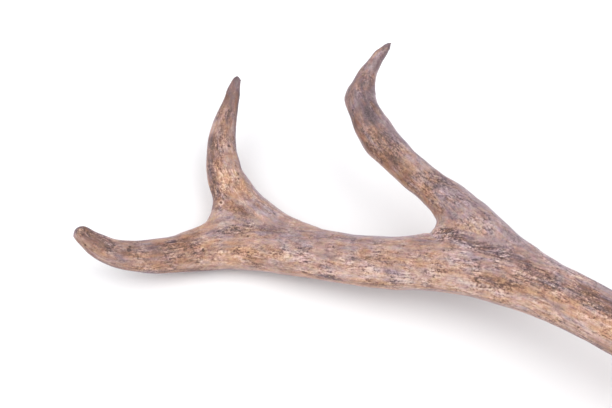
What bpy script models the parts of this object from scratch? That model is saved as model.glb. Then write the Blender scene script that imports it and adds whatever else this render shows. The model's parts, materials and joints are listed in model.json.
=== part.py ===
"""A deer antler of four points, lying on a table.

The beam runs along X from the burr, at +X, to the crown fork, and the tines leave it towards +Y.
The antler rests on z = 0 on its burr, the tip of its brow tine and the underside of its crown.
It is modelled whole, as it grew, and then parted by thin saw cuts at its forks, so that each
length of beam and each tine is an object of its own. Sizes in the tables are in millimetres.
"""

import math
from collections import namedtuple

import bmesh
import bpy
from mathutils import Matrix, Vector, noise

MM = 0.001

# A point of a centreline, with the half width in the plane of the forks and the half thickness
# across that plane.
Station = namedtuple("Station", "x y z wide thick")

# From the seal under the burr, through the beam, to the tip of the crown's end tine.
BEAM = (
    Station(436, -204, 28.8, 18, 18),
    Station(428, -203, 29.8, 23, 23),
    Station(423, -202, 30.8, 26.5, 26.5),
    Station(417, -201, 31.8, 23, 23),
    Station(408, -199, 33.6, 20.5, 20.5),
    Station(378, -194, 38.6, 19.3, 19),
    Station(335, -183.5, 45, 18.4, 18),
    Station(290, -169, 49, 18, 17.5),
    Station(245, -150.5, 51, 17.8, 17.2),
    Station(205, -129.5, 51, 17.6, 17),
    Station(174, -110.8, 50, 17.4, 16.8),
    Station(148, -93, 47, 17.4, 16.6),
    Station(120, -79.5, 43, 16.8, 16),
    Station(92, -68.7, 38, 15.9, 15.4),
    Station(57, -62, 32, 16.3, 14.6),
    Station(27, -55.9, 26, 16.3, 13.8),
    Station(-4, -47, 20, 16.2, 13.2),
    Station(-35, -40, 14.5, 15.2, 12.6),
    Station(-63, -40.5, 13, 15, 11.8),
    Station(-83, -46.8, 16, 11.8, 10.8),
    Station(-102, -51.2, 21, 10.3, 9.6),
    Station(-119, -52, 28, 8.8, 8.4),
    Station(-131, -48.2, 36, 7.4, 7.2),
    Station(-138.5, -43.3, 41.5, 6.2, 5.8),
)
CROWN_FRONT_TINE = (
    Station(15, -51, 24, 12.8, 11),
    Station(-10, -38, 18, 15, 12),
    Station(-30, -23, 15.5, 15.4, 12),
    Station(-43.3, -7.4, 16, 14.2, 11.6),
    Station(-50, 7, 18, 12.6, 11),
    Station(-55, 27, 23, 10.1, 9.4),
    Station(-54, 39, 28, 8.4, 8.3),
    Station(-50.7, 51.5, 33, 6.7, 7),
    Station(-48, 60.5, 37, 5.2, 5.4),
    Station(-45.6, 69.5, 41, 3.8, 4),
    Station(-44.5, 74.3, 43.5, 2.8, 2.8),
)
# Fills the crown between its two tines, where the antler is flat and broad.
CROWN_WEB = (
    Station(-53, 17, 20, 8.6, 8.5),
    Station(-46.5, 1, 17, 13.4, 11),
    Station(-45, -20, 15.5, 16.9, 12),
    Station(-50, -36, 14.2, 15, 12),
)
MIDDLE_TINE = (
    Station(156, -96, 46.5, 13, 13),
    Station(131, -74.3, 45.5, 13.6, 14.5),
    Station(108, -47, 44, 13.2, 13.8),
    Station(86.5, -24, 43.5, 13.4, 12.8),
    Station(69.5, -7.5, 45, 10.9, 11.4),
    Station(51.2, 11, 50, 11.5, 10.6),
    Station(39.8, 27, 54, 11.3, 10),
    Station(33.9, 44, 58, 10.4, 9.4),
    Station(36.2, 52.5, 60.5, 8.1, 7.8),
    Station(40.2, 61, 64, 5.8, 6),
    Station(45.8, 68.4, 67, 4.5, 4.7),
    Station(51.2, 74.4, 69.5, 3.5, 3.4),
    Station(55, 78.6, 71, 2.2, 2.2),
)
# Fills the crotch under the middle tine.
MIDDLE_WEB = (
    Station(92, -24, 43, 12, 11),
    Station(96.5, -41, 42, 16.8, 12),
    Station(96, -55, 41.5, 19, 13),
    Station(94, -68, 40, 19, 13.5),
)
BROW_TINE = (
    Station(380, -188, 39, 15, 13.5),
    Station(387, -166, 43, 14.4, 13),
    Station(396, -140, 46.5, 13, 12),
    Station(402, -111, 46, 11.8, 11.2),
    Station(402, -82, 39.5, 10.5, 10),
    Station(396, -56, 29, 8.9, 8.6),
    Station(386, -34, 16.5, 6.6, 6.6),
    Station(376, -17, 6, 4.4, 4.4),
    Station(370, -8, 1, 2.4, 2.4),
)
BRANCHES = (BEAM, CROWN_FRONT_TINE, CROWN_WEB, MIDDLE_TINE, MIDDLE_WEB, BROW_TINE)

RING_STEP = 4.0
RING_SIDES = 32

# Long shallow furrows run up the lower beam and die out below the crown.
FURROWS = 6
FURROW_DEPTH = 0.75
FURROW_TWIST_PER_MM = 0.004
FURROWS_END_X = -20.0
FURROWS_FULL_X = 300.0

# Pearls stand in two rows round the burr: large ones on its rim, small ones above it.
PearlRow = namedtuple("PearlRow", "count along ring_radius radius")
BURR_CENTRE = Vector((423, -202, 30.8))
BURR_AXIS = Vector((44, -8, -7)).normalized()
PEARL_ROWS = (
    PearlRow(19, -0.5, 27.0, 4.6),
    PearlRow(17, -8.5, 21.5, 3.2),
)

LUMP_SPACING = 17.0
LUMP_HEIGHT = 0.7

VOXEL = 2.0
SMOOTHING_PASSES = 9
TRIANGLES = 8800

# The flat middle of the seal, where the antler came away from the skull.
SEAL_BELOW_BURR = 7.0

# Each saw cut is a thin disc across one limb, close to its fork.
SAW_KERF = 0.3
SawCut = namedtuple("SawCut", "centre along radius")
SAW_CUTS = (
    SawCut(Vector((389, -160, 44.5)), Vector((9, 26, 3.5)), 24),
    SawCut(Vector((75, -13, 44.4)), Vector((-17, 17, 2)), 22),
    SawCut(Vector((57, -62, 32)), Vector((-33, 7, -6)), 26),
    SawCut(Vector((-52, 9, 18.6)), Vector((-6, 20, 4)), 20),
    SawCut(Vector((-76, -44, 14.8)), Vector((-20, -5, 2.5)), 20),
)

# The limbs, each with a point that lies inside it and its colour.
Limb = namedtuple("Limb", "name inside colour")
LIMBS = (
    Limb("lower_beam", Vector((245, -150.5, 51)), (0.42, 0.29, 0.235)),
    Limb("brow_tine", Vector((402, -111, 47)), (0.38, 0.255, 0.205)),
    Limb("middle_tine", Vector((45, 19, 52)), (0.385, 0.27, 0.225)),
    Limb("upper_beam", Vector((27, -56, 26)), (0.44, 0.31, 0.26)),
    Limb("crown_front_tine", Vector((-54, 33, 25.5)), (0.41, 0.285, 0.22)),
    Limb("crown_end_tine", Vector((-102, -51, 21)), (0.40, 0.27, 0.22)),
)
ROUGHNESS = 0.62
SHARP_ANGLE = math.radians(50)


def clear_scene():
    for old in list(bpy.data.objects):
        bpy.data.objects.remove(old)


def between(stations, index, share):
    """The smooth curve through the stations, a share of the way from one to the next."""
    last = len(stations) - 1
    before, start, end, after = (
        stations[max(0, min(last, index + step))] for step in (-1, 0, 1, 2)
    )
    values = []
    for a, b, c, d in zip(before, start, end, after):
        linear = (c - a) * share
        square = (2 * a - 5 * b + 4 * c - d) * share**2
        cube = (3 * b - a - 3 * c + d) * share**3
        values.append(b + (linear + square + cube) / 2)
    return Station(*values)


def centreline(stations):
    """Stations about one ring step apart, along the smooth curve."""
    dense = []
    for index, (start, end) in enumerate(zip(stations, stations[1:])):
        length = math.dist(start[:3], end[:3])
        steps = max(1, round(length / RING_STEP))
        dense += [between(stations, index, step / steps) for step in range(steps)]
    return dense + [stations[-1]]


def furrow_depth(x):
    """How deep the furrows are where a limb passes x, from none at the crown to full at the burr."""
    share = (x - FURROWS_END_X) / (FURROWS_FULL_X - FURROWS_END_X)
    return FURROW_DEPTH * max(0.0, min(1.0, share))


def add_ring(bm, station, direction, along):
    """One oval ring square to the centreline, drawn in where a furrow passes. Returns its edges."""
    centre = Vector(station[:3])
    side = Vector((0, 0, 1)).cross(direction).normalized()
    rise = direction.cross(side)
    turn = Matrix((side, rise, direction)).transposed().to_4x4()
    made = bmesh.ops.create_circle(bm, segments=RING_SIDES, radius=1)
    depth = furrow_depth(station.x)
    for vert in made["verts"]:
        angle = math.atan2(vert.co.y, vert.co.x)
        wave = math.cos(FURROWS * angle + FURROW_TWIST_PER_MM * along * FURROWS)
        vert.co.x *= station.wide - depth * (0.5 + 0.5 * wave)
        vert.co.y *= station.thick - depth * (0.5 + 0.5 * wave)
    bmesh.ops.transform(bm, matrix=Matrix.Translation(centre) @ turn, verts=made["verts"])
    return list({edge for vert in made["verts"] for edge in vert.link_edges})


def add_limb(bm, stations):
    """A closed limb: rings along the centreline, bridged, with both ends filled."""
    line = centreline(stations)
    points = [Vector(station[:3]) for station in line]
    rings = []
    along = 0.0
    for index, station in enumerate(line):
        ahead = points[min(index + 1, len(points) - 1)]
        behind = points[max(index - 1, 0)]
        along += (points[index] - points[max(index - 1, 0)]).length
        rings.append(add_ring(bm, station, (ahead - behind).normalized(), along))
    for first, second in zip(rings, rings[1:]):
        bmesh.ops.bridge_loops(bm, edges=first + second)
    for end in (rings[0], rings[-1]):
        bmesh.ops.holes_fill(bm, edges=end, sides=RING_SIDES)


def add_pearls(bm):
    """The rows of pearls round the burr, each pearl a little larger or smaller than the last."""
    side = Vector((0, 0, 1)).cross(BURR_AXIS).normalized()
    rise = BURR_AXIS.cross(side)
    for row in PEARL_ROWS:
        for index in range(row.count):
            uneven = noise.noise(Vector((index * 1.7, row.along, 0.5)))
            angle = 2 * math.pi * (index + 0.6 * uneven) / row.count
            outward = side * math.cos(angle) + rise * math.sin(angle)
            place = BURR_CENTRE + BURR_AXIS * (row.along + 1.5 * uneven)
            place = place + outward * (row.ring_radius + 2.2 * uneven)
            bmesh.ops.create_icosphere(
                bm,
                subdivisions=2,
                radius=row.radius * (1 + 0.6 * uneven),
                matrix=Matrix.Translation(place),
            )


def mesh_object(name, bm):
    mesh = bpy.data.meshes.new(name)
    bm.to_mesh(mesh)
    bm.free()
    made = bpy.data.objects.new(name, mesh)
    bpy.context.scene.collection.objects.link(made)
    return made


def apply_modifiers(obj):
    """The object's mesh as its modifiers leave it, as a bmesh. The object is removed."""
    graph = bpy.context.evaluated_depsgraph_get()
    bm = bmesh.new()
    bm.from_object(obj, graph)
    bpy.data.objects.remove(obj)
    return bm


def grown_together():
    """All limbs and pearls as one skin, with the forks filled out softly."""
    bm = bmesh.new()
    for stations in BRANCHES:
        add_limb(bm, stations)
    add_pearls(bm)
    bmesh.ops.recalc_face_normals(bm, faces=bm.faces)
    whole = mesh_object("whole_antler", bm)
    remesh = whole.modifiers.new("one_skin", "REMESH")
    remesh.mode = "VOXEL"
    remesh.voxel_size = VOXEL
    smooth = whole.modifiers.new("soft_forks", "SMOOTH")
    smooth.factor = 0.5
    smooth.iterations = SMOOTHING_PASSES
    return apply_modifiers(whole)


def raise_lumps(bm):
    """The slight unevenness of grown bone."""
    bm.normal_update()
    heights = [LUMP_HEIGHT * noise.noise(vert.co / LUMP_SPACING) for vert in bm.verts]
    for vert, height in zip(list(bm.verts), heights):
        vert.co += vert.normal * height


def thinned(bm):
    """The same skin with as few triangles as its shape needs."""
    whole = mesh_object("whole_antler", bm)
    decimate = whole.modifiers.new("fewer_faces", "DECIMATE")
    decimate.ratio = TRIANGLES / (2 * len(whole.data.polygons))
    whole.modifiers.new("flat_faces", "TRIANGULATE")
    return apply_modifiers(whole)


def flatten_seal(bm):
    """Cuts the bone off flat below the burr."""
    bmesh.ops.bisect_plane(
        bm,
        geom=list(bm.verts) + list(bm.edges) + list(bm.faces),
        plane_co=BURR_CENTRE + BURR_AXIS * SEAL_BELOW_BURR,
        plane_no=BURR_AXIS,
        clear_outer=True,
    )
    bmesh.ops.holes_fill(bm, edges=[edge for edge in bm.edges if edge.is_boundary], sides=0)


def add_saw(index, cut):
    """The disc that one saw cut takes out."""
    bm = bmesh.new()
    bmesh.ops.create_cone(
        bm,
        cap_ends=True,
        segments=24,
        radius1=cut.radius,
        radius2=cut.radius,
        depth=SAW_KERF,
        matrix=Matrix.Translation(cut.centre) @ cut.along.to_track_quat("Z", "Y").to_matrix().to_4x4(),
    )
    saw = mesh_object(f"saw_{index}", bm)
    saw.hide_render = True
    saw.display_type = "WIRE"
    return saw


def sawn(bm):
    """The antler with every saw cut taken out, still as one mesh of loose lengths."""
    whole = mesh_object("whole_antler", bm)
    saws = [add_saw(index, cut) for index, cut in enumerate(SAW_CUTS)]
    for saw in saws:
        cut = whole.modifiers.new(saw.name, "BOOLEAN")
        cut.operation = "DIFFERENCE"
        cut.object = saw
    bm = apply_modifiers(whole)
    for saw in saws:
        bpy.data.objects.remove(saw)
    return bm


def loose_lengths(bm):
    """The sets of faces that hang together."""
    left = set(bm.faces)
    lengths = []
    while left:
        reached = {left.pop()}
        edge_of_search = list(reached)
        while edge_of_search:
            face = edge_of_search.pop()
            near = {other for edge in face.edges for other in edge.link_faces} & left
            left -= near
            reached |= near
            edge_of_search += near
        lengths.append(reached)
    return lengths


def centre_of_mass(bm):
    """The centre of the solid, from the thin pyramids that its faces make with the origin."""
    weighted = Vector()
    total = 0.0
    for face in bm.faces:
        first = face.verts[0].co
        for second, third in zip(face.verts[1:], face.verts[2:]):
            volume = first.dot(second.co.cross(third.co))
            weighted += volume * (first + second.co + third.co) / 4
            total += volume
    return weighted / total


def resting_turn(bm):
    """The turn that lays the antler on the three points that carry it."""
    centre = centre_of_mass(bm)
    hull = bmesh.new()
    for vert in bm.verts:
        hull.verts.new(vert.co)
    bmesh.ops.convex_hull(hull, input=hull.verts)
    hull.normal_update()
    below = [face for face in hull.faces if face.normal.z < 0]
    under_centre = min(below, key=lambda face: face.normal.dot(centre - face.verts[0].co) / face.normal.z)
    turn = under_centre.normal.rotation_difference(Vector((0, 0, -1))).to_matrix().to_4x4()
    hull.free()
    return turn


def resting_place(bm):
    """Lays the antler down, with the middle of the box round it over the origin, in metres."""
    turn = resting_turn(bm)
    corners = [turn @ vert.co for vert in bm.verts]
    low = Vector(map(min, zip(*corners)))
    high = Vector(map(max, zip(*corners)))
    middle = Vector(((low.x + high.x) / 2, (low.y + high.y) / 2, low.z))
    return Matrix.Scale(MM, 4) @ Matrix.Translation(-middle) @ turn


def bone(limb):
    """The limb's brown bone."""
    material = bpy.data.materials.new(f"{limb.name}_bone")
    material.use_nodes = True
    shader = material.node_tree.nodes["Principled BSDF"]
    shader.inputs["Base Color"].default_value = (*limb.colour, 1)
    shader.inputs["Roughness"].default_value = ROUGHNESS
    shader.inputs["Metallic"].default_value = 0
    return material


def add_limb_object(bm, lengths, limb, place):
    """The loose length that holds the limb's inside point, as an object in its resting place."""
    own = min(
        lengths,
        key=lambda faces: min((vert.co - limb.inside).length for face in faces for vert in face.verts),
    )
    kept = {face.index for face in own}
    part = bm.copy()
    bmesh.ops.delete(part, geom=[face for face in part.faces if face.index not in kept], context="FACES")
    part.transform(place)
    made = mesh_object(limb.name, part)
    made.data.shade_smooth()
    made.data.set_sharp_from_angle(angle=SHARP_ANGLE)
    made.data.materials.append(bone(limb))


def build():
    clear_scene()
    whole = grown_together()
    raise_lumps(whole)
    whole = thinned(whole)
    flatten_seal(whole)
    place = resting_place(whole)
    whole = sawn(whole)
    whole.faces.index_update()
    lengths = loose_lengths(whole)
    for limb in LIMBS:
        add_limb_object(whole, lengths, limb, place)
    whole.free()


build()
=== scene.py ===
"""Looks for a cast deer antler: one skin of bone over its six limbs, in a plain pale studio.

The skin is grown from copies of the limbs, so it keeps their size and place. Patterns follow the grain,
which runs along a line through each limb: a place on a limb is millimetres along that line, and degrees
round it, with 0 on top, 90 on the side that the tines grow on and -90 on the side that faces the camera.
"""

import json
import math

import bmesh
import bpy
import numpy as np
from bpy.props import FloatProperty, FloatVectorProperty, IntProperty, PointerProperty
from mathutils import Euler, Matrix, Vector, noise
from mathutils.bvhtree import BVHTree
from mathutils.kdtree import KDTree


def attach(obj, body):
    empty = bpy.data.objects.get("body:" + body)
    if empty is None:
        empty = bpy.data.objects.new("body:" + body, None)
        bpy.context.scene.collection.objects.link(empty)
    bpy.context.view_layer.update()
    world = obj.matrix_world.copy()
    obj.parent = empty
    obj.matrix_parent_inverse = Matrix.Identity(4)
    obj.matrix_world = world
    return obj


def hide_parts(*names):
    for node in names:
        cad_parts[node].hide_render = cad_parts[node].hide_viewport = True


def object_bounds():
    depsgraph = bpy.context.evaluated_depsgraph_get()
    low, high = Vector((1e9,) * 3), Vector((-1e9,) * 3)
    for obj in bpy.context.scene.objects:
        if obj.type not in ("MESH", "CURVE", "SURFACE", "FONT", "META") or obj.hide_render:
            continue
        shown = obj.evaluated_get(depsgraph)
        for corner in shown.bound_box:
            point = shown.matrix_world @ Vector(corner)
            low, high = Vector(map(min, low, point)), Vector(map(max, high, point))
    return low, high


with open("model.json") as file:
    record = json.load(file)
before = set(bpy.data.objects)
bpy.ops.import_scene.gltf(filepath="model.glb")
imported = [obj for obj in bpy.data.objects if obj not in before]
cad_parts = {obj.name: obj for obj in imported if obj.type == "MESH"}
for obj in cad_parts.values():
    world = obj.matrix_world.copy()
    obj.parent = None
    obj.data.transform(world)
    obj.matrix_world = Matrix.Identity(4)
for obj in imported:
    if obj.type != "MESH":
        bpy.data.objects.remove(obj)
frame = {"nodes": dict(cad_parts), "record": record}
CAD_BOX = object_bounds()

bl_info = {
    "name": "Deer Antler",
    "version": (1, 0, 0),
    "blender": (4, 5, 0),
    "location": "3D View > Sidebar > Antler",
    "description": "Grows a skin of bone over the limbs of a cast antler and sets up a pale studio",
    "category": "Object",
}

MM = 0.001
PIECE = "antler"
BODY = "root"
SLOT = "antler_bone"

# The frame gives the seal, the face that the antler was cast at.
SEAL = frame["record"]["mounts"][0]
SEAL_CENTRE = Vector(SEAL["pos_m"])
SEAL_AXIS = Vector(SEAL["axis"]).normalized()

# The grain's lines, from foot to tip: x, y, z and half the limb's thickness there, in millimetres.
GRAIN_LINES = {
    "beam": (
        (290, -127, 28, 22), (262, -122, 33, 20), (232, -117, 38, 19), (189, -106, 44, 18),
        (144, -92, 48, 18), (99, -73, 50, 17.5), (59, -52, 50, 17.5), (28, -34, 49, 17),
        (-26, -2, 42, 16.5), (-89, 15, 31, 15.5), (-150, 30, 19, 14.5), (-181, 37, 14, 14),
        (-209, 37, 12, 13), (-229, 31, 15, 11), (-248, 26, 20, 10), (-265, 25, 27, 8.5),
        (-277, 29, 35, 7), (-285, 34, 41, 5)),
    "front": (
        (-131, 26, 23, 12), (-156, 39, 17, 12), (-176, 54, 15, 12), (-190, 70, 15, 12),
        (-196, 84, 17, 12), (-201, 104, 22, 10), (-200, 116, 27, 8.4), (-197, 129, 32, 7),
        (-194, 138, 36, 5.3), (-191, 152, 43, 3)),
    "middle": (
        (10, -19, 46, 12), (-15, 3, 45, 12), (-38, 30, 43, 13), (-60, 53, 43, 13),
        (-77, 70, 44, 11), (-95, 88, 49, 11), (-107, 104, 53, 10.6), (-112.5, 121, 57, 10),
        (-110, 130, 60, 8), (-101, 146, 66, 4.6), (-91, 156, 70, 2.5)),
    "brow": (
        (222, -115, 38, 12), (236, -103, 40, 12.5), (241, -89, 42, 13.5), (250, -63, 45, 12.5),
        (256, -34, 45, 11.5), (256, -5, 38, 10.2), (250, 21, 28, 8.8), (240, 43, 15, 6.6),
        (224, 69, 0, 2.4)),
}
LINE_STEP = 1 * MM
# Each limb's pattern is taken from another stretch of the noise.
PATTERN_STEP = 1000 * MM

# Soft swellings, and hollows where the height is below 0. Each is limb, millimetres along it, degrees
# round it, millimetres out from its line, its reach and its height in millimetres.
SWELLINGS = (
    ("beam", 303, -118, 16, 42, -0.85), ("beam", 316, 62, 18.6, 22, 1.3),
    ("beam", 341, -118, 16, 12, -0.4), ("beam", 391, 74, 25, 8, 0.6), ("beam", 395, 69, 21.5, 6, 0.7),
    ("beam", 397, 71, 20, 10, 3.9), ("beam", 402, -118, 15, 9, -0.6), ("beam", 406, 68, 17.3, 12, 1.4),
    ("beam", 424, 95, 15.5, 14, 0.8), ("beam", 430, -113, 16, 9, 0.6), ("beam", 453, 65, 15, 18, 0.8),
    ("beam", 458, -111, 15.5, 16, -0.5), ("beam", 531, -110, 14.6, 16, -0.35),
    ("beam", 536, 70, 15.5, 7, 1.5), ("beam", 540, -95, 14, 30, -0.4), ("beam", 566, 59, 10.8, 14, 0.85),
    ("beam", 570, -121, 10, 10, 0.3), ("beam", 580, -122, 9.5, 8, -0.5),
    ("beam", 600, -117, 8.1, 14, -0.68), ("beam", 613, 71, 6.6, 8, -0.3), ("beam", 622, -71, 1, 7, 1.9),
    ("front", 23, 66, 13.6, 12, 0.9), ("front", 78, -88, 17, 9, -1.15), ("front", 84, 79, 13.6, 7, -0.4),
    ("front", 94, 80, 12, 10, -1.6), ("front", 95, -92, 12.5, 13, 0.8), ("front", 115, -89, 9.8, 8, -0.6),
    ("front", 118, 96, 8.8, 12, 0.6), ("front", 143, -75, 6, 14, -0.4), ("front", 150, 104, 3.8, 5, 0.45),
    ("front", 153, -79, 3.6, 5, 0.5), ("front", 165, 0, 0, 6, -0.9),
    ("middle", 26, 53, 13.7, 9, 0.5), ("middle", 50, 51, 13.6, 14, -1.3),
    ("middle", 80, 55, 12.7, 8, 0.5), ("middle", 95, -100, 16, 7, 0.8),
    ("middle", 98, -108, 13.4, 6, 0.2), ("middle", 105, -117, 11.8, 6, -0.5),
    ("middle", 111, 64, 12, 10, -0.9), ("middle", 114, -118, 11.3, 16, -1.4),
    ("middle", 125, -113, 10.3, 6, 0.4), ("middle", 137, 64, 10.7, 9, -1.0),
    ("middle", 157, -116, 11.4, 8, 0.6), ("middle", 164, 72, 11, 8, 0.7),
    ("middle", 179, -101, 10.2, 9, -1.1), ("middle", 182, 79, 11, 8, -0.8),
    ("middle", 196, -77, 8.3, 9, -1.1), ("middle", 198, 95, 8.5, 8, 0.5),
    ("middle", 211, 109, 4.5, 8, 0.5), ("middle", 213, -68, 4.7, 7, -0.5),
    ("middle", 221, -62, 3.1, 4, 0.4), ("middle", 226, -60, 2.6, 8, -0.3),
)

# Patches brushed along the grain. Each is limb, from and to in millimetres along it, from and to in
# degrees round it, half its width in millimetres, and its strength.
STAINS = (
    ("beam", 60, 110, 40, 60, 8, 0.5), ("beam", 96, 150, -30, -10, 8, 0.6),
    ("beam", 150, 230, 110, 150, 9, 0.4), ("beam", 180, 216, 20, 5, 7, 0.6),
    ("beam", 265, 318, -102, -102, 5, 0.7), ("beam", 268, 330, 62, 62, 7, 0.65),
    ("beam", 268, 300, -8, 4, 6, 1.0), ("beam", 306, 322, -18, -8, 3.5, 0.5),
    ("beam", 318, 336, -8, 4, 5, 0.85), ("beam", 325, 360, -15, -8, 5, 0.5),
    ("beam", 330, 400, 160, 190, 8, 0.5), ("beam", 340, 358, 18, 34, 5, 0.85),
    ("beam", 342, 356, -40, -46, 5, 0.85), ("beam", 362, 384, 36, 50, 4, 0.95),
    ("beam", 365, 400, -12, -12, 5, 0.4), ("beam", 395, 470, -36, -30, 9, 0.35),
    ("beam", 422, 428, -86, -89, 3, 0.6), ("beam", 450, 459, -80, -84, 4, 0.8),
    ("beam", 480, 560, -38, -34, 4, 0.5), ("beam", 492, 505, 30, 42, 5, 0.75),
    ("beam", 515, 527, 18, 12, 5, 0.6), ("beam", 520, 600, -106, -106, 4, 0.6),
    ("beam", 545, 570, -5, 12, 4.5, 0.75), ("beam", 560, 600, -38, -20, 6, 0.5),
    ("beam", 566, 590, 20, 35, 4, 0.45), ("beam", 570, 590, -80, -60, 4, 0.5),
    ("beam", 590, 604, -70, -50, 4, 0.5), ("beam", 602, 622, 8, 20, 5, 0.95),
    ("front", 56, 68, -28, -40, 4.5, 0.7), ("front", 64, 84, -62, -72, 5, 0.9),
    ("front", 80, 112, -42, -18, 4.5, 0.6), ("front", 84, 116, -66, -42, 4.5, 0.9),
    ("front", 100, 150, 82, 95, 5, 0.8), ("front", 125, 136, 10, 35, 5, 0.75),
    ("front", 136, 148, -45, -45, 3.5, 0.6), ("front", 150, 170, 0, 0, 9, 0.6),
    ("middle", 60, 90, -40, -30, 8, 0.4), ("middle", 62, 90, 0, 50, 12, 0.2),
    ("middle", 88, 115, -35, -15, 7, 0.5), ("middle", 96, 126, -48, -48, 7, 0.5),
    ("middle", 96, 112, 5, 25, 5, 0.6), ("middle", 126, 158, -48, -26, 5, 0.7),
    ("middle", 150, 200, -62, -45, 7, 0.5), ("middle", 150, 172, -15, -5, 6, 0.75),
    ("middle", 165, 200, -10, 25, 7, 0.6), ("middle", 200, 212, 0, 40, 4, 0.35),
    ("middle", 216, 240, 40, 40, 6, 0.55),
    ("brow", 60, 120, -30, 20, 7, 0.5), ("brow", 180, 212, 0, 0, 9, 0.7),
)
OCHRES = (
    ("beam", 20, 90, -20, 30, 8, 0.5), ("beam", 120, 200, -60, -30, 8, 0.6),
    ("beam", 240, 285, -44, -38, 6, 0.9), ("beam", 240, 620, -96, -96, 6, 0.6),
    ("beam", 285, 345, -44, -26, 5, 0.8), ("beam", 345, 375, -14, -20, 5, 0.4),
    ("beam", 375, 430, -17, -24, 5, 0.5), ("beam", 488, 500, -35, -5, 6, 0.5),
    ("beam", 505, 535, -70, -60, 6, 0.8), ("beam", 512, 536, -15, 50, 11, 0.9),
    ("beam", 512, 618, -50, -24, 13, 0.95), ("beam", 520, 608, 10, 20, 12, 0.75),
    ("beam", 535, 565, -45, -25, 6, 0.7), ("beam", 565, 612, -28, -38, 5, 0.75),
    ("front", 50, 145, -76, -68, 8, 0.6), ("front", 62, 96, -32, -10, 6, 0.6),
    ("front", 80, 140, 0, 15, 9, 0.9), ("front", 108, 140, 20, 5, 7, 0.95),
    ("front", 135, 150, -10, -30, 5, 0.9),
    ("middle", 96, 130, -62, -42, 5, 0.4), ("middle", 110, 190, -95, -85, 7, 0.7),
    ("middle", 140, 160, -52, -28, 5, 0.6), ("middle", 198, 234, -10, 10, 7, 0.5),
    ("brow", 100, 170, -60, -20, 6, 0.6),
)
MAUVES = (
    ("beam", 270, 440, 58, 70, 9, 0.5), ("beam", 330, 375, -12, -8, 5, 0.5),
    ("beam", 480, 522, 10, 40, 9, 0.7), ("beam", 545, 570, 40, 60, 7, 0.4),
    ("beam", 600, 622, -10, -10, 9, 0.4),
    ("front", 45, 80, -20, 50, 13, 0.3),
    ("middle", 20, 105, 0, 55, 15, 0.8), ("middle", 60, 100, -45, -35, 7, 0.15),
    ("middle", 105, 150, 25, 40, 7, 0.6),
)
# Pale patches: partly pale bone, and partly painted highlight. The beam's patches from -56 to -75 degrees
# paint glints and a lit, lighter flank on the side that faces the camera.
PALE_PATCHES_AND_HIGHLIGHTS = (
    ("beam", 130, 240, -75, -60, 7, 0.6), ("beam", 240, 300, -66, -58, 6, 1.0),
    ("beam", 300, 400, -70, -56, 6, 0.9), ("beam", 318, 365, 66, 72, 7, 0.9),
    ("beam", 350, 392, 40, 60, 7, 0.45), ("beam", 400, 470, -72, -58, 6, 0.75),
    ("beam", 400, 510, -66, -62, 5, 0.5), ("beam", 470, 490, -64, -54, 4, 0.6),
    ("beam", 474, 480, -46, -42, 3, 1.0), ("beam", 510, 600, -66, -60, 5, 0.7),
    ("beam", 600, 620, 40, 40, 5, 0.5),
    ("front", 30, 70, 0, 10, 11, 0.38), ("front", 80, 130, 4, 4, 9, 0.42),
    ("middle", 218, 222, -14, -6, 1.8, 0.9),
)

# Small marks. Each is limb, millimetres along it, aside of its line and above it, half the mark's length
# and half its width in millimetres, and how much lighter it is, or darker below 0. Two on one spot make
# a ring.
SPOTS = (
    ("front", 75.2, -12.1, 9.7, 2.3, 2.2, 0.34), ("front", 75.2, -12.1, 9.7, 1.0, 0.9, -0.75),
    ("front", 90.6, 5.9, 9.4, 1.3, 0.8, -0.4), ("front", 112.7, 5.0, 7.5, 1.1, 0.9, -0.4),
    ("beam", 587.1, -0.4, 8.6, 1.5, 1.2, -0.5), ("beam", 538.4, -6.7, 10.0, 1.1, 1.0, -0.6),
    ("beam", 526.7, -8.8, 9.2, 0.8, 0.7, 0.35), ("beam", 524.3, -8.8, 9.2, 0.8, 0.7, 0.35),
    ("beam", 521.9, -8.9, 9.1, 0.8, 0.7, 0.35), ("beam", 519.5, -9.0, 9.0, 1.0, 0.8, 0.35),
)
# A row of short pale cuts across the front tine, in millimetres: the first one's place along, aside and
# above, and the step to the next.
CUT_COUNT = 5
FIRST_CUT = (94.5, -2.4, 10.0)
CUT_STEP = (-0.5, 1.75, 0)
CUT_HALF_LENGTH = 1.5
CUT_HALF_WIDTH = 0.55
CUT_TONE = 0.36
CUTS = tuple(
    ("front", *(place + step * number for place, step in zip(FIRST_CUT, CUT_STEP)),
     CUT_HALF_LENGTH, CUT_HALF_WIDTH, CUT_TONE)
    for number in range(CUT_COUNT))
# How far above and below its place a mark shows, in millimetres, and between which shares of its half
# sizes it fades out.
SPOT_DEPTH = 3
SPOT_EDGE = (0.6, 1.3)

# How the limbs darken towards their tips: over how many millimetres, and how much.
DUSKS = (("beam", 130, 0.6), ("front", 85, 1.0), ("middle", 150, 1.16), ("brow", 110, 0.9))

# Vertices of one limb that are closer than this become one.
MERGE = 0.01 * MM
# A sawn face has a face of another limb within this distance, and their normals meet at less than this
# cosine.
SAW_GAP_REACH = 0.45 * MM
FACING = -0.9
# How far the sawn faces are pushed out, so that the limbs overlap.
SAW_OVERLAP = 0.6 * MM

# How far a vertex moves towards its neighbours' middle in the steps of one pass. The first pair takes
# facets out without shrinking the form, and the single step fills hollows and rounds edges off.
SMOOTHING_STEPS = (0.6, -0.62)
ROUNDING_STEPS = (0.6,)

# The smoothing weakens towards the seal, to keep the burr's edges: between which heights over the seal's
# plane, in millimetres, and by how much.
BURR_HEIGHTS = (-26, -14)
BURR_KEPT = 0.8
# The seal's face ends softly between these heights over its plane, and between these distances from its
# middle, in millimetres.
SEAL_HEIGHTS = (-1.6, -0.4)
SEAL_RADIUS = (20, 24)

# The layers of relief. Each is its size across the grain and along it, in millimetres, and a seed.
FURROWS = (6.5, 70, 11.7)
COARSE_GRAIN = (2.6, 15, 5.1)
FINE_GRAIN = (1.9, 5, 8.9)
FINE_GRAIN_SHARE = 0.5
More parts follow.
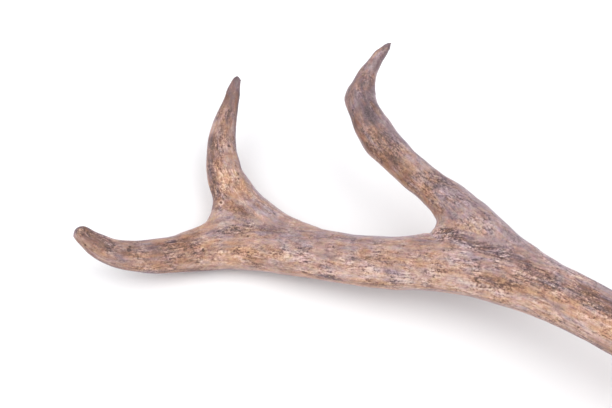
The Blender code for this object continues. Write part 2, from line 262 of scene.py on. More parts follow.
# The ridges between the furrows stand this high, in furrow depths. The furrows' depth is the first of the
# shares everywhere, and the second comes on top near the seal.
RIDGE = 0.25
FURROW_SHARES = (0.8, 2.2)
# The lumps and the spongy seal are alike in all directions: size and seed, and the sponge's height.
LUMPS = (22, 3.3)
SPONGE = (2.4, 1.9)
SPONGE_HEIGHT = 0.45
# The pearls' cells along and across the beam, in millimetres, the radius of a full-grown pearl in cells,
# and how much of it the smallest has. The last number spreads the middles out before each draws its size.
PEARL_CELL = (7.5, 4.6, 4.6)
PEARL_RADIUS = 0.62
LEAST_PEARL = 0.35
PEARL_SPREAD = 7.31
# Where the deep furrows, the burr's pearls and the beam's few pearls fade out, in millimetres from the
# seal, and how high those few are beside the burr's.
DEEP_FURROWS = (40, 260)
BURR_PEARLS = (25, 170)
BEAM_PEARLS = (150, 330)
BEAM_PEARL_SHARE = 0.16
# The relief is weaker at the tips, down to this share: from and to in millimetres from the tip.
SLENDER = (8, 70)
TIP_RELIEF = 0.25


class AntlerForm(bpy.types.PropertyGroup):
    """Sizes of the bone's surface relief."""

    cell: FloatProperty(
        name="Skin cell", description="Edge of one face of the skin",
        default=1.18 * MM, min=0.8 * MM, max=4 * MM, unit="LENGTH", precision=5)
    smoothing: IntProperty(
        name="Smoothing passes", description="Passes that take the facets out of the limbs",
        default=24, min=0, max=80)
    rounding: IntProperty(
        name="Rounding passes", description="Passes that round off the forks' hollows and the blunt tip",
        default=50, min=0, max=200)
    lump_height: FloatProperty(
        name="Lump height", description="Height of the broad, soft unevenness",
        default=0.35 * MM, min=0, max=2 * MM, unit="LENGTH", precision=5)
    furrow_depth: FloatProperty(
        name="Furrow depth", description="Depth of the furrows that run along the beam",
        default=0.32 * MM, min=0, max=2 * MM, unit="LENGTH", precision=5)
    grain_depth: FloatProperty(
        name="Grain depth", description="Depth of the fine grain between the furrows",
        default=0.11 * MM, min=0, max=1 * MM, unit="LENGTH", precision=5)
    pearl_height: FloatProperty(
        name="Pearl height", description="Height of the pearls on the foot of the beam",
        default=1.3 * MM, min=0, max=4 * MM, unit="LENGTH", precision=5)


class AntlerFinish(bpy.types.PropertyGroup):
    """Colours and gloss of the bone."""

    darkest: FloatVectorProperty(
        name="Darkest", description="Colour of the deepest stains",
        default=(0.085, 0.044, 0.038), min=0, max=1, size=3, subtype="COLOR")
    dark: FloatVectorProperty(
        name="Dark", description="Colour between the deepest stains and the plain bone",
        default=(0.203, 0.112, 0.093), min=0, max=1, size=3, subtype="COLOR")
    bone: FloatVectorProperty(
        name="Bone", description="Colour of the plain bone",
        default=(0.363, 0.222, 0.181), min=0, max=1, size=3, subtype="COLOR")
    light: FloatVectorProperty(
        name="Light", description="Colour where the skin of the bone is thin",
        default=(0.505, 0.331, 0.273), min=0, max=1, size=3, subtype="COLOR")
    # The lightest colour is reached at the pale patches, so it also serves as painted highlight on the
    # beam's camera-facing flank.
    lightest: FloatVectorProperty(
        name="Lightest", description="Colour where the skin is rubbed off",
        default=(0.675, 0.488, 0.41), min=0, max=1, size=3, subtype="COLOR")
    mauve: FloatVectorProperty(
        name="Mauve tint", description="What the coolest places multiply those colours by",
        default=(0.82, 0.957, 1.24), min=0, max=2, size=3, subtype="COLOR")
    ochre: FloatVectorProperty(
        name="Ochre tint", description="What the warmest places multiply those colours by",
        default=(1.09, 0.94, 0.69), min=0, max=2, size=3, subtype="COLOR")
    spongy: FloatVectorProperty(
        name="Seal", description="Colour of the spongy bone in the seal",
        default=(0.62, 0.46, 0.335), min=0, max=1, size=3, subtype="COLOR")
    roughness: FloatProperty(
        name="Roughness", description="Roughness of the bone between its dull and its polished places",
        default=0.46, min=0, max=1, subtype="FACTOR")
    fine_relief: FloatProperty(
        name="Fine relief", description="Height of the finest grain, which only the shading shows",
        default=0.09 * MM, min=0, max=1 * MM, unit="LENGTH", precision=5)


class AntlerStudio(bpy.types.PropertyGroup):
    """Camera, floor and light."""

    elevation: FloatProperty(
        name="Camera elevation", description="Angle of the camera above the floor",
        default=math.radians(58), min=0, max=math.pi / 2, subtype="ANGLE")
    distance: FloatProperty(
        name="Camera distance", description="From the camera to the middle of the picture on the floor",
        default=0.83, min=0.2, max=5, unit="LENGTH")
    lens: FloatProperty(
        name="Lens", description="Focal length of the camera", default=75, min=20, max=200,
        unit="CAMERA")
    floor: FloatVectorProperty(
        name="Floor", description="Colour of the floor",
        default=(0.92, 0.925, 0.935), min=0, max=1, size=3, subtype="COLOR")
    room_light: FloatProperty(
        name="Room light", description="Strength of the even light from all round",
        default=0.8, min=0, max=5)
    key_light: FloatProperty(
        name="Key lamp", description="Power of the lamp on the right",
        default=6.8, min=0, max=200, unit="POWER")
    key_size: FloatProperty(
        name="Key lamp size", description="Edge of the square lamp on the right",
        default=1.0, min=0.05, max=4, unit="LENGTH")
    left_light: FloatProperty(
        name="Left lamp", description="Power of the broad lamp in front on the left",
        default=8.3, min=0, max=200, unit="POWER")
    left_size: FloatProperty(
        name="Left lamp size", description="Edge of the square lamp on the left",
        default=1.3, min=0.05, max=4, unit="LENGTH")
    lamp_colour: FloatVectorProperty(
        name="Lamp colour", description="Colour of the light of all lamps",
        default=(1, 0.985, 0.96), min=0, max=1, size=3, subtype="COLOR")
    room_colour: FloatVectorProperty(
        name="Room colour", description="Colour of the even light from all round",
        default=(0.95, 0.955, 0.98), min=0, max=1, size=3, subtype="COLOR")


def smooth_step(values, low, high):
    """0 below low, 1 above high, and a soft step between them."""
    share = np.clip((values - low) / (high - low), 0, 1)
    return share * share * (3 - 2 * share)


def fade_out(values, near, far):
    """1 below near, 0 above far, and a soft step between them."""
    return smooth_step(-values, -far, -near)


def pattern_place(limb):
    """Where a limb's stretch of the noise starts."""
    return PATTERN_STEP * list(GRAIN_LINES).index(limb)


class GrainLine:
    """A smooth line through a limb, with the frame of directions that the grain follows."""

    def __init__(self, stations):
        self.points, self.radii = self.curve(np.array(stations, float) * MM)
        steps = np.linalg.norm(np.diff(self.points, axis=0), axis=1)
        self.along = np.concatenate([[0], np.cumsum(steps)])
        self.length = self.along[-1]
        self.tangents = self.unit(np.gradient(self.points, axis=0))
        self.sides = self.unit(np.cross(self.tangents, (0, 0, 1)))
        self.tops = np.cross(self.sides, self.tangents)
        self.tree = KDTree(len(self.points))
        for index, point in enumerate(self.points):
            self.tree.insert(point, index)
        self.tree.balance()

    @staticmethod
    def unit(vectors):
        """The vectors at length 1."""
        return vectors / np.linalg.norm(vectors, axis=1)[:, None]

    @staticmethod
    def curve(stations):
        """A smooth curve through the stations, as points and half thicknesses."""
        before = 2 * stations[0] - stations[1]
        after = 2 * stations[-1] - stations[-2]
        knots = np.vstack([before, stations, after])
        rows = []
        for first, start, end, last in zip(knots, knots[1:], knots[2:], knots[3:]):
            count = max(2, round(np.linalg.norm((end - start)[:3]) / LINE_STEP))
            for t in np.arange(count) / count:
                rows.append(0.5 * (
                    2 * start + (end - first) * t
                    + (2 * first - 5 * start + 4 * end - last) * t ** 2
                    + (3 * start - first - 3 * end + last) * t ** 3))
        rows.append(stations[-1])
        rows = np.array(rows)
        return rows[:, :3], rows[:, 3]

    def locate(self, points):
        """Where points lie on the limb: along it, aside, above, and how far out in half thicknesses."""
        nearest = np.array([self.tree.find(point)[1] for point in points])
        offsets = points - self.points[nearest]
        along = self.along[nearest] + np.sum(offsets * self.tangents[nearest], axis=1)
        aside = np.sum(offsets * self.sides[nearest], axis=1)
        above = np.sum(offsets * self.tops[nearest], axis=1)
        outward = np.linalg.norm(offsets, axis=1) / self.radii[nearest]
        return along, aside, above, outward


class Grain:
    """The grain's coordinates at every vertex of the skin."""

    # How far the beam's grain reaches into a tine, in half thicknesses, and how softly its relief and its
    # colours end.
    TINE_LEAD = 0.15
    TINE_BLEND = 0.3
    COLOUR_BLEND = 0.75
    # How even the blend of two limbs is, out of 1, where their fork is rounded in full.
    FORK_BLEND = 0.7
    # From where to where along the beam its blunt end is rounded off, in millimetres, and how much.
    BLUNT_END = (606, 614)
    BLUNTING = 0.4
    # How many of a limb's last millimetres are as dark as its tip.
    TIP_LENGTH = 5
    # Between which shares of half its width a brushed patch fades out, and how much further at its ends.
    PATCH_EDGE = (0.4, 1.5)
    PATCH_STRETCH = 1.6

    def __init__(self, points):
        self.lines = {limb: GrainLine(stations) for limb, stations in GRAIN_LINES.items()}
        self.place = {limb: line.locate(points) for limb, line in self.lines.items()}
        self.tines = [limb for limb in self.lines if limb != "beam"]
        outward = np.stack([self.place[limb][3] for limb in self.tines])
        self.nearest_tine = np.argmin(outward, axis=0)
        lead = self.place["beam"][3] - outward.min(axis=0) - self.TINE_LEAD
        self.tine_share = smooth_step(lead, -self.TINE_BLEND / 2, self.TINE_BLEND / 2)
        self.tine_colour = smooth_step(lead, -self.COLOUR_BLEND / 2, self.COLOUR_BLEND / 2)

    def coordinates(self, limb):
        """Along, aside and above for one limb, as rows."""
        return np.stack(self.place[limb][:3], axis=1)

    def tine_coordinates(self):
        """The same for the tine that is nearest to each vertex."""
        rows = np.stack([self.coordinates(limb) + (pattern_place(limb), 0, 0) for limb in self.tines])
        return rows[self.nearest_tine, np.arange(rows.shape[1])]

    def share(self, limb):
        """How far each vertex takes the colours of a limb, from 0 to 1."""
        if limb == "beam":
            return 1 - self.tine_colour
        return self.tine_colour * (self.nearest_tine == self.tines.index(limb))

    def from_tip(self):
        """The distance to the end of the limb that each vertex is on."""
        left = {limb: line.length - self.place[limb][0] for limb, line in self.lines.items()}
        tines = np.stack([left[limb] for limb in self.tines])
        tine = tines[self.nearest_tine, np.arange(tines.shape[1])]
        return np.where(self.tine_share > 0.5, tine, left["beam"])

    def near_tips(self):
        """How dusky each vertex is, as the limbs darken towards their tips."""
        dusk = np.zeros(len(self.tine_share))
        for limb, reach, power in DUSKS:
            left = (self.lines[limb].length - self.place[limb][0]) / MM
            dusk += power * fade_out(left, self.TIP_LENGTH, reach) * self.share(limb)
        return dusk

    def rounded_places(self):
        """1 in the forks and at the beam's blunt end, and 0 elsewhere."""
        fork = smooth_step(4 * self.tine_share * (1 - self.tine_share), 0, self.FORK_BLEND)
        end = smooth_step(self.place["beam"][0] / MM, *self.BLUNT_END) * self.share("beam")
        return np.maximum(fork, self.BLUNTING * end)

    def swelling(self, places):
        """The height of a list of soft swellings at each vertex, in metres."""
        height = np.zeros(len(self.tine_share))
        for limb, centre, angle, out, reach, top in places:
            turn = math.radians(angle)
            middle = np.array((centre, out * math.sin(turn), out * math.cos(turn))) * MM
            away = np.linalg.norm(self.coordinates(limb) - middle, axis=1) / (reach * MM)
            height += top * MM * np.exp(-2 * away ** 2)
        return height

    def brushed(self, patches):
        """The strength of a list of patches at each vertex, from 0 to 1."""
        strength = np.zeros(len(self.tine_share))
        for limb, start, end, start_angle, end_angle, half_width, power in patches:
            along, aside, above, _ = self.place[limb]
            travelled = np.clip((along / MM - start) / (end - start), 0, 1)
            beyond = along / MM - start - travelled * (end - start)
            angle = start_angle + travelled * (end_angle - start_angle)
            turn = (np.degrees(np.arctan2(aside, above)) - angle + 180) % 360 - 180
            across = np.radians(turn) * np.hypot(aside, above) / MM
            away = np.hypot(beyond / self.PATCH_STRETCH, across) / half_width
            patch = power * fade_out(away, *self.PATCH_EDGE) * self.share(limb)
            strength = np.maximum(strength, patch)
        return strength


def sawn_faces(limb, others):
    """The faces of a limb's sawn ends, which face another limb across a saw gap."""
    found = []
    for face in limb.faces:
        centre = face.calc_center_median()
        for other in others:
            place, normal, _, _ = other.find_nearest(centre, SAW_GAP_REACH)
            if place is not None and normal.dot(face.normal) < FACING:
                found.append(face)
                break
    return found


def joined_limbs():
    """A mesh of all limbs, each sawn end pushed through its gap so that the limbs overlap."""
    limbs = {}
    for name, node in frame["nodes"].items():
        limb = bmesh.new()
        limb.from_mesh(node.data)
        bmesh.ops.remove_doubles(limb, verts=limb.verts, dist=MERGE)
        limb.normal_update()
        limbs[name] = limb
    trees = {name: BVHTree.FromBMesh(limb) for name, limb in limbs.items()}
    mesh = bpy.data.meshes.new(PIECE)
    joined = bmesh.new()
    for name, limb in limbs.items():
        ends = sawn_faces(limb, [tree for other, tree in trees.items() if other != name])
        pushes = {}
        for face in ends:
            for vert in face.verts:
                pushes[vert] = face.normal * SAW_OVERLAP
        for vert, push in pushes.items():
            vert.co += push
        limb.to_mesh(mesh)
        joined.from_mesh(mesh)
        limb.free()
    joined.to_mesh(mesh)
    joined.free()
    return mesh


def remeshed(mesh, cell):
    """An object with one closed skin round the mesh, of even cells."""
    skin = bpy.data.objects.new(PIECE, mesh)
    bpy.context.scene.collection.objects.link(skin)
    remesh = skin.modifiers.new("even_cells", "REMESH")
    remesh.mode = "VOXEL"
    remesh.voxel_size = cell
    bpy.context.view_layer.update()
    evaluated = skin.evaluated_get(bpy.context.evaluated_depsgraph_get())
    even = bpy.data.meshes.new_from_object(evaluated)
    skin.modifiers.clear()
    skin.data = even
    bpy.data.meshes.remove(mesh)
    even.name = PIECE
    return skin


def positions(mesh):
    """The vertices' places, as rows."""
    flat = np.empty(len(mesh.vertices) * 3)
    mesh.vertices.foreach_get("co", flat)
    return flat.reshape(-1, 3)


def move_vertices(mesh, points):
    """Puts the vertices at new places."""
    mesh.vertices.foreach_set("co", points.ravel())
    mesh.update()


def vertex_normals(mesh):
    """The vertices' normals, as rows."""
    flat = np.empty(len(mesh.vertices) * 3)
    mesh.vertex_normals.foreach_get("vector", flat)
    return flat.reshape(-1, 3)


def faired(mesh, passes, steps, strength):
    """Where the vertices come to when each one moves towards the middle of its neighbours."""
    ends = np.empty(len(mesh.edges) * 2, int)
    mesh.edges.foreach_get("vertices", ends)
    one, two = ends.reshape(-1, 2).T
    points = positions(mesh)
    count = len(points)
    neighbours = np.bincount(one, minlength=count) + np.bincount(two, minlength=count)
    for _ in range(passes):
        for step in steps:
            total = np.stack([
                np.bincount(one, points[two, axis], count) + np.bincount(two, points[one, axis], count)
                for axis in range(3)], axis=1)
            drift = total / neighbours[:, None] - points
            points = points + drift * (step * strength)[:, None]
    return points


def noise_at(points, size, seed):
    """Smooth noise from about -1 to 1 at each point. Size is one length, or one along each axis."""
    scaled = points / size + seed
    return np.array([noise.noise(point) for point in scaled.tolist()])


def pearls_at(points, size):
    """Round bumps from 0 to 1, scattered in cells of a size."""
    bumps = []
    for point in (points / size).tolist():
        distances, centres = noise.voronoi(point)
        drawn = 0.5 + 0.5 * noise.cell(centres[0] * PEARL_SPREAD)
        grown = LEAST_PEARL + (1 - LEAST_PEARL) * drawn
        bumps.append(grown * max(0.0, 1 - (distances[0] / (PEARL_RADIUS * grown)) ** 2))
    return np.array(bumps)


def relief(points, grain, form):
    """The height of the bone's surface above the plain form at each vertex."""
    beam = grain.coordinates("beam")
    tine = grain.tine_coordinates()
    share = grain.tine_share
    from_seal = beam[:, 0] / MM
    slender = TIP_RELIEF + (1 - TIP_RELIEF) * smooth_step(grain.from_tip() / MM, *SLENDER)

    def along_grain(across, along, seed):
        size = np.array((along, across, across)) * MM
        return noise_at(beam, size, seed) * (1 - share) + noise_at(tine, size, seed) * share

    def even(size, seed):
        return noise_at(points, size * MM, seed)

    plain, added = FURROW_SHARES
    deep = (1 - share) * fade_out(from_seal, *DEEP_FURROWS)
    furrows = RIDGE - np.abs(along_grain(*FURROWS))
    furrows *= form.furrow_depth * (plain + added * deep)
    fine = along_grain(*COARSE_GRAIN) * form.grain_depth
    fine += along_grain(*FINE_GRAIN) * form.grain_depth * FINE_GRAIN_SHARE
    lumps = even(*LUMPS) * form.lump_height
    pearls = pearls_at(beam, np.array(PEARL_CELL) * MM)
    pearled = BEAM_PEARL_SHARE * fade_out(from_seal, *BEAM_PEARLS) + fade_out(from_seal, *BURR_PEARLS)
    pearls *= form.pearl_height * np.clip((1 - share) * pearled, 0, 1)
    height = (lumps + furrows + fine) * slender + pearls + grain.swelling(SWELLINGS)
    off_seal = 1 - on_seal(points)
    spongy = even(*SPONGE) * SPONGE_HEIGHT * MM
    return height * off_seal + spongy * (1 - off_seal)


def on_seal(points):
    """1 on the seal's face, and 0 away from it."""
    offsets = points - np.array(SEAL_CENTRE)
    height = offsets @ np.array(SEAL_AXIS)
    out = np.linalg.norm(offsets - height[:, None] * np.array(SEAL_AXIS), axis=1)
    return smooth_step(height / MM, *SEAL_HEIGHTS) * fade_out(out / MM, *SEAL_RADIUS)


def write_vectors(mesh, name, rows):
    """Stores three numbers for each vertex under a name that the material reads."""
    layer = mesh.attributes.new(name, "FLOAT_VECTOR", "POINT")
    layer.data.foreach_set("vector", rows.astype(np.float32).ravel())


def grown_skin(form):
    """The antler's skin, with its relief and the attributes that its material reads."""
    skin = remeshed(joined_limbs(), form.cell)
    mesh = skin.data
    plain = positions(mesh)
    foot = (plain - np.array(SEAL_CENTRE)) @ np.array(SEAL_AXIS) / MM
    smoothed = 1 - BURR_KEPT * smooth_step(foot, *BURR_HEIGHTS)
    move_vertices(mesh, faired(mesh, form.smoothing, SMOOTHING_STEPS, smoothed))
    rounded = Grain(positions(mesh)).rounded_places()
    move_vertices(mesh, faired(mesh, form.rounding, ROUNDING_STEPS, rounded))
    points = positions(mesh)
    grain = Grain(points)
    height = relief(points, grain, form)
    points = points + vertex_normals(mesh) * height[:, None]
    points[:, 2] = np.maximum(points[:, 2], CAD_BOX[0].z)
    move_vertices(mesh, points)
    mesh.shade_smooth()
    write_vectors(mesh, "grain_beam", grain.coordinates("beam"))
    write_vectors(mesh, "grain_tine", grain.tine_coordinates())
    warm = grain.brushed(OCHRES) - grain.brushed(MAUVES)
    # The marks are the stains, the warmth, and the pale patches, which partly paint highlights on the
    # beam's flank towards the camera.
    marks = [grain.brushed(STAINS), warm, grain.brushed(PALE_PATCHES_AND_HIGHLIGHTS)]
    write_vectors(mesh, "marks", np.stack(marks, axis=1))
    form_rows = np.stack([height / MM, grain.near_tips(), on_seal(points)], axis=1)
    write_vectors(mesh, "form", form_rows)
    share = mesh.attributes.new("tine_share", "FLOAT", "POINT")
    share.data.foreach_set("value", grain.tine_colour.astype(np.float32))
    return skin


class Shader:
    """A material's nodes, with short ways to add the kinds that bone needs."""

    def __init__(self, name):
        self.material = bpy.data.materials.new(name)
        self.material.use_nodes = True
        self.tree = self.material.node_tree
        self.tree.nodes.clear()

    def add(self, kind, inputs=(), **settings):
        """A node of a kind, with its settings, and a value or a link for each named input."""
        node = self.tree.nodes.new("ShaderNode" + kind)
        for setting, value in settings.items():
            setattr(node, setting, value)
        for key, value in dict(inputs).items():
            self.feed(node.inputs[key], value)
        return node

    def feed(self, socket, value):
        """Links a socket to an input, or sets its value."""
        if isinstance(value, bpy.types.NodeSocket):
            self.tree.links.new(value, socket)
        else:
            socket.default_value = value

    def maths(self, operation, *values):
        """The result of one sum on one to three values."""
        return self.add("Math", enumerate(values), operation=operation).outputs[0]

    def mix(self, factor, one, two):
        """One colour turned into another by a factor."""
        node = self.add("Mix", {0: factor, 6: one, 7: two}, data_type="RGBA")
        return node.outputs[2]

    def blend(self, factor, one, two):
        """One number turned into another by a factor."""
        node = self.add("Mix", {0: factor, 2: one, 3: two}, data_type="FLOAT")
        return node.outputs[0]

    def step(self, value, low, high, to_low=0.0, to_high=1.0):
        """A soft step: to_low below low, to_high above high."""
        node = self.add("MapRange", {0: value, 1: low, 2: high, 3: to_low, 4: to_high},
                        interpolation_type="SMOOTHSTEP")
        return node.outputs[0]

    def fade_out(self, value, near, far):
        """1 below near, 0 above far, and a soft step between them."""
        return self.step(value, near, far, 1.0, 0.0)

    def attribute(self, name, output="Vector"):
        """What the mesh stores under a name."""
        return self.add("Attribute", attribute_name=name).outputs[output]

    def parts(self, vector):
        """The three numbers of a vector."""
        return self.add("SeparateXYZ", {0: vector}).outputs

    def scaled(self, vector, sizes):
        """A vector counted in sizes given in millimetres."""
        shares = [1 / (size * MM) for size in sizes]
        return self.add("VectorMath", {0: vector, 1: shares}, operation="MULTIPLY").outputs[0]

    def noise(self, vector, detail, roughness=0.5, distortion=0.0, output=0):
        """Noise from 0 to 1, one wave for each unit of the vector."""
        node = self.add("TexNoise", {
            "Vector": vector, "Scale": 1.0, "Detail": detail, "Roughness": roughness,
            "Distortion": distortion})
        return node.outputs[output]


class BoneShader(Shader):
    """The bone's material, layer by layer."""

    # How much shorter and how much wider the grain is on the tines.
    TINE_GRAIN = (0.75, 1.1)
    # Noise along the grain: across and along in millimetres, detail, roughness and distortion.
    BANDS = (4.2, 55, 3.0)
    STREAKS = (1.6, 8, 4.0, 0.66, 0.3)
    HAIRS = (0.8, 2.8, 2.0, 0.7, 0.4)
    MOTTLE = (3.4, 7.5, 4.0, 0.62, 0.5)
    WARM_STREAKS = (3.4, 12, 3.0, 0.55, 0.4)
    CURLS = (2.7, 4.6, 1.6, 0.55, 0.8)
    # Noise alike in all directions: size in millimetres, detail, roughness and distortion.
    SPECKS = (1.5, 2.0, 0.75)
    CLOUDS = (16, 3.0, 0.6, 0.4)
    BUSY_PLACES = (11, 2.0)
    CURLED_PLACES = (17, 2.0)
    WARM_PLACES = (21, 2.0, 0.5, 0.3)
    PORES = (1.6, 2.0, 0.6)
    # The size of the speckle of hues, in millimetres.
    SPECKLE_SIZE = 3.6
    # How far from the middle of its noise a curling line reaches.
    CURL_REACH = 0.06
    # The pits' cells in millimetres, the draw from which a cell has a pit, and the largest one's radius in
    # cells.
    PIT_CELL = 6.5
    PIT_DRAW = 0.55
    PIT_RADIUS = 0.13
    # From where to where along the beam the crown's plainer skin sets in, in metres.
    CROWN = (0.41, 0.45)

    def __init__(self, name, finish):
        super().__init__(name)
        self.finish = finish
        self.beam = self.attribute("grain_beam")
        self.tine = self.attribute("grain_tine")
        self.share = self.attribute("tine_share", "Fac")
        self.stain, self.warm, self.pale = self.parts(self.attribute("marks"))
        self.height, self.tip, self.seal = self.parts(self.attribute("form"))
        self.place = self.add("TexCoord").outputs["Object"]

    def grain(self, across, along, detail, roughness=0.5, distortion=0.0):
        """Noise drawn out along the grain, sizes in millimetres, and shorter on the tines."""
        shorter, wider = self.TINE_GRAIN
        one = self.scaled(self.beam, (along, across, across))
        two = self.scaled(self.tine, (shorter * along, wider * across, wider * across))
        noises = (self.noise(line, detail, roughness, distortion) for line in (one, two))
        return self.blend(self.share, *noises)

    def cloud(self, size, detail, roughness=0.5, distortion=0.0):
        """Noise that is alike in all directions, size in millimetres."""
        return self.noise(self.scaled(self.place, (size,) * 3), detail, roughness, distortion)

    def ramp(self, value, *colours):
        """A row of colours, evenly spaced from 0 to 1, read at a value."""
        node = self.add("ValToRGB", {0: value})
        stops = node.color_ramp.elements
        for _ in colours[2:]:
            stops.new(0.5)
        for index, colour in enumerate(colours):
            stops[index].position = index / (len(colours) - 1)
            stops[index].color = (*colour, 1.0)
        return node.outputs[0]

    def total(self, *terms):
        """The sum of its terms, each of them a value, or a pair of a value and its share."""
        total = None
        for term in terms:
            value = self.maths("MULTIPLY", *term) if isinstance(term, tuple) else term
            total = value if total is None else self.maths("ADD", total, value)
        return total

    def times(self, one, two):
        """One colour multiplied by another."""
        return self.add("VectorMath", {0: one, 1: two}, operation="MULTIPLY").outputs[0]

    def hues(self):
        """A tint close to white that wanders a little, mostly between green and magenta."""
        place = self.scaled(self.place, (self.SPECKLE_SIZE,) * 3)
        speckle = self.noise(place, 4.0, 0.65, output="Color")
        span, least = (0.1, 0.5, 0.1), (0.95, 0.75, 0.95)
        tint = self.add("VectorMath", {0: speckle, 1: span, 2: least}, operation="MULTIPLY_ADD")
        return tint.outputs[0]

    def curls(self):
        """Thin curling lines, the paths of the small vessels that fed the growing bone."""
        wander = self.grain(*self.CURLS)
        line = self.maths("ABSOLUTE", self.maths("SUBTRACT", wander, 0.5))
        where = self.step(self.cloud(*self.CURLED_PLACES), 0.4, 0.62)
        return self.maths("MULTIPLY", self.fade_out(line, 0.0, self.CURL_REACH), where)

    def pits(self):
        """Small scattered holes."""
        place = self.scaled(self.place, (self.PIT_CELL,) * 3)
        cells = self.add("TexVoronoi", {"Vector": place, "Scale": 1.0})
        chance = self.parts(cells.outputs["Color"])[0]
        size = self.step(chance, self.PIT_DRAW, 1.0, 0.0, self.PIT_RADIUS)
        return self.maths("LESS_THAN", cells.outputs["Distance"], size)

    def spots(self):
        """How much lighter or darker the small marks are."""
        tones = []
        for limb, along, aside, above, half_length, half_width, tone in SPOTS + CUTS:
            line = self.beam if limb == "beam" else self.tine
            sizes = (half_length, half_width, SPOT_DEPTH)
            place = (pattern_place(limb) / MM + along, aside, above)
            centre = [number / size for number, size in zip(place, sizes)]
            away = self.add("VectorMath", {0: self.scaled(line, sizes), 1: centre}, operation="DISTANCE")
            tones.append((self.fade_out(away.outputs["Value"], *SPOT_EDGE), tone))
        return self.total(*tones)

    def build(self):
        """Makes the layers and returns the material."""
        finish = self.finish
        bands = self.grain(*self.BANDS)
        streaks = self.grain(*self.STREAKS)
        hairs = self.grain(*self.HAIRS)
        specks = self.cloud(*self.SPECKS)
        mottle = self.grain(*self.MOTTLE)
        clouds = self.cloud(*self.CLOUDS)

        # The fine network is lively in some places, and calmer on the tines, at the tips and on the crown.
        network = self.total((hairs, 1.15), (streaks, 1.3), (specks, 1.15), -1.8)
        busy = self.step(self.cloud(*self.BUSY_PLACES), 0.38, 0.62, 0.5, 1.5)
        crown = self.step(self.parts(self.beam)[0], *self.CROWN)
        calm = self.total((self.share, -0.18), (self.tip, -0.42), 1.0)
        calm = self.maths("MULTIPLY", calm, self.blend(crown, 1.0, self.blend(self.share, 0.8, 0.94)))
        network = self.maths("MULTIPLY", network, self.maths("MULTIPLY", busy, calm))

        # The tone runs from the darkest colour at 0 to the lightest at 1.
        stained = self.total((self.stain, 0.75), (mottle, 0.9), (network, -0.9), -0.45)
        stained = self.step(stained, 0.12, 0.85)
        # Lighter places: rubbed bone, and painted highlight where the pale patches lie on the beam's flank
        # towards the camera.
        rubbed_and_highlit = self.total((self.pale, 0.75), (mottle, 0.5), (network, 0.9), -0.25)
        rubbed_and_highlit = self.step(rubbed_and_highlit, 0.15, 0.8)
        tone = self.total(
            (network, 0.52), (mottle, 0.88), (bands, 0.55), (clouds, 0.5), (self.height, 0.06),
            (stained, -0.34), (rubbed_and_highlit, 0.23), (self.tip, -0.13), (self.curls(), -0.18),
            (self.pits(), -0.35), self.spots(), -0.43)
        colour = self.ramp(
            tone, finish.darkest, finish.dark, finish.bone, finish.light, finish.lightest)

        # The warmth runs from mauve at 0 to ochre at 1, and light places have less of either.
        warmth = self.total(
            (self.cloud(*self.WARM_PLACES), 1.0), (self.grain(*self.WARM_STREAKS), 1.95),
            (self.warm, 0.45), (self.tip, -0.33), -1.52)
        vivid = self.total((tone, -0.9), 1.5)
        warmth = self.maths("MULTIPLY_ADD", warmth, vivid, 0.5)
        tint = self.ramp(warmth, finish.mauve, (1, 1, 1), finish.ochre)
        colour = self.times(self.times(colour, tint), self.hues())

        pores = self.cloud(*self.PORES)
        sponge = self.ramp(self.step(pores, 0.36, 0.6), finish.dark, finish.spongy)
        colour = self.mix(self.seal, colour, sponge)

        relief = self.total((network, 0.8), (stained, -0.15))
        bump = self.add("Bump", {"Height": relief, "Strength": 1.0, "Distance": finish.fine_relief})
        rough = self.total((stained, 0.12), finish.roughness)
        surface = self.add("BsdfPrincipled", {
            "Base Color": colour, "Roughness": rough, "Normal": bump.outputs[0],
            "Sheen Weight": 0.3, "Sheen Roughness": 0.35, "Sheen Tint": (0.72, 0.7, 1.0, 1.0)})
        self.add("OutputMaterial", {"Surface": surface.outputs[0]})
        return self.material


class OBJECT_OT_antler(bpy.types.Operator):
    """Grow one skin of bone over the antler's six limbs and finish it"""

    bl_idname = "object.cast_antler"
    bl_label = "Antler"

    def execute(self, context):
        scene = context.scene
        skin = grown_skin(scene.antler_form)
        skin.data.materials.append(BoneShader(SLOT, scene.antler_finish).build())
        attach(skin, BODY)
        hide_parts(*frame["nodes"])
        return {"FINISHED"}


# Where the middle of the picture falls on the floor, and the floor's size.
AIM = Vector((-0.1464, 0.0773, 0.0))
FLOOR_SIZE = 6.0
# The lamps' distance from there, and their directions: degrees round from the camera's side, with 90 on
# its right, and degrees above the floor.
LAMP_DISTANCE = 1.3
KEY_DIRECTION = (80, 60)
LEFT_DIRECTION = (-70, 55)
# The camera's sensor, in millimetres.
SENSOR_WIDTH = 36


def make_floor(colour):
    """A plain pale floor that the antler lies on."""
    mesh = bpy.data.meshes.new("floor")
    plane = bmesh.new()
    bmesh.ops.create_grid(plane, x_segments=1, y_segments=1, size=FLOOR_SIZE / 2)
    plane.to_mesh(mesh)
    plane.free()
    floor = bpy.data.objects.new("floor", mesh)
    shader = Shader("pale_floor")
    surface = shader.add("BsdfPrincipled", {
        "Base Color": (*colour, 1.0), "Roughness": 0.9, "Specular IOR Level": 0.1})
    shader.add("OutputMaterial", {"Surface": surface.outputs[0]})
    mesh.materials.append(shader.material)
    bpy.context.scene.collection.objects.link(floor)


def make_lamp(name, power, colour, size, direction):
    """A square lamp that faces the middle of the picture."""
    light = bpy.data.lights.new(name, "AREA")
    light.shape = "SQUARE"
    light.size = size
    light.energy = power
    light.color = colour
    lamp = bpy.data.objects.new(name, light)
    around, up = (math.radians(angle) for angle in direction)
    back = Vector((math.sin(around) * math.cos(up), -math.cos(around) * math.cos(up), math.sin(up)))
    lamp.location = AIM + back * LAMP_DISTANCE
    lamp.rotation_euler = back.to_track_quat("Z", "Y").to_euler()
    bpy.context.scene.collection.objects.link(lamp)


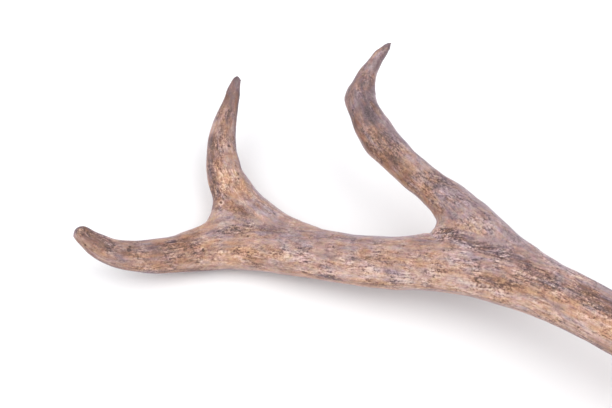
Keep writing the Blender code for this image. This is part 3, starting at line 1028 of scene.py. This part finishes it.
def make_camera(studio):
    """The camera at the photograph's viewing angle."""
    data = bpy.data.cameras.new("camera")
    data.lens = studio.lens
    data.sensor_width = SENSOR_WIDTH
    camera = bpy.data.objects.new("camera", data)
    up = studio.elevation
    camera.location = AIM + Vector((0, -math.cos(up), math.sin(up))) * studio.distance
    camera.rotation_euler = Euler((math.pi / 2 - up, 0, 0))
    bpy.context.scene.collection.objects.link(camera)
    bpy.context.scene.camera = camera


class SCENE_OT_antler_studio(bpy.types.Operator):
    """Lay a pale floor, light it softly and set up the camera"""

    bl_idname = "scene.antler_studio"
    bl_label = "Studio"

    def execute(self, context):
        scene = context.scene
        studio = scene.antler_studio
        make_camera(studio)
        make_floor(studio.floor)
        colour = studio.lamp_colour
        make_lamp("key_light", studio.key_light, colour, studio.key_size, KEY_DIRECTION)
        make_lamp("left_light", studio.left_light, colour, studio.left_size, LEFT_DIRECTION)
        world = bpy.data.worlds.new("room")
        world.use_nodes = True
        background = world.node_tree.nodes["Background"].inputs
        background["Strength"].default_value = studio.room_light
        background["Color"].default_value = (*studio.room_colour, 1)
        scene.world = world
        scene.view_settings.view_transform = "Standard"
        return {"FINISHED"}


class VIEW3D_PT_antler(bpy.types.Panel):
    """The antler's steps and settings"""

    bl_label = "Deer Antler"
    bl_space_type = "VIEW_3D"
    bl_region_type = "UI"
    bl_category = "Antler"

    def draw(self, context):
        layout = self.layout
        for operator in OPERATORS:
            layout.operator(operator.bl_idname)
        for group in SETTINGS:
            box = layout.box()
            settings = getattr(context.scene, group)
            for name in settings.__annotations__:
                box.prop(settings, name)


OPERATORS = (OBJECT_OT_antler, SCENE_OT_antler_studio)
SETTINGS = {"antler_form": AntlerForm, "antler_finish": AntlerFinish, "antler_studio": AntlerStudio}
CLASSES = (*SETTINGS.values(), *OPERATORS, VIEW3D_PT_antler)


def register():
    """Registers the classes and hangs their settings on the scene."""
    for cls in CLASSES:
        bpy.utils.register_class(cls)
    for name, cls in SETTINGS.items():
        setattr(bpy.types.Scene, name, PointerProperty(type=cls))


def unregister():
    """Takes the settings and the classes away again."""
    for name in SETTINGS:
        delattr(bpy.types.Scene, name)
    for cls in reversed(CLASSES):
        bpy.utils.unregister_class(cls)


def main():
    """Makes the studio and the antler."""
    register()
    bpy.ops.scene.antler_studio()
    bpy.ops.object.cast_antler()


if __name__ == "__main__":
    main()
